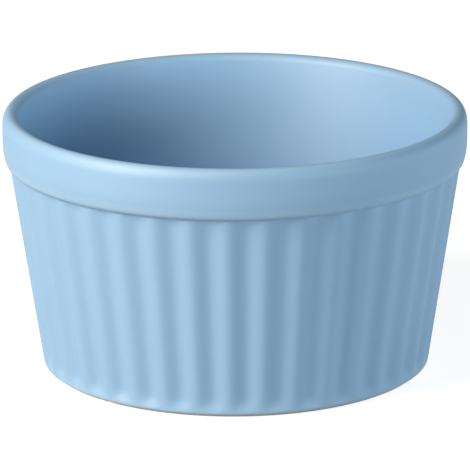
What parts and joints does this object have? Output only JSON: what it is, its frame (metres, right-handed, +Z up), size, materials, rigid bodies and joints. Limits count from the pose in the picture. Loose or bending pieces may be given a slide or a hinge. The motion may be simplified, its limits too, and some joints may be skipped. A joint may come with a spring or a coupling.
{
  "type": "ramekin",
  "caption": "Round fluted ceramic ramekin with a plain rim band, a flared open cup and a bare foot ring, for baking and serving single portions.",
  "frame": {"origin": "centre of the foot ring's contact plane, on the cup's axis", "axes": "+Z up along the cup's axis, from the foot to the rim; X and Y are alike, and a rib crest lies on +X"},
  "size_m": [0.09, 0.09, 0.0507],
  "materials": {
    "clay": "bare fired stoneware",
    "glaze": "satin matt light blue glaze"
  },
  "bodies": {
    "root": {"clay_body": "clay", "glaze_coat": "glaze", "base_glaze": "glaze"}
  },
  "joints": []
}
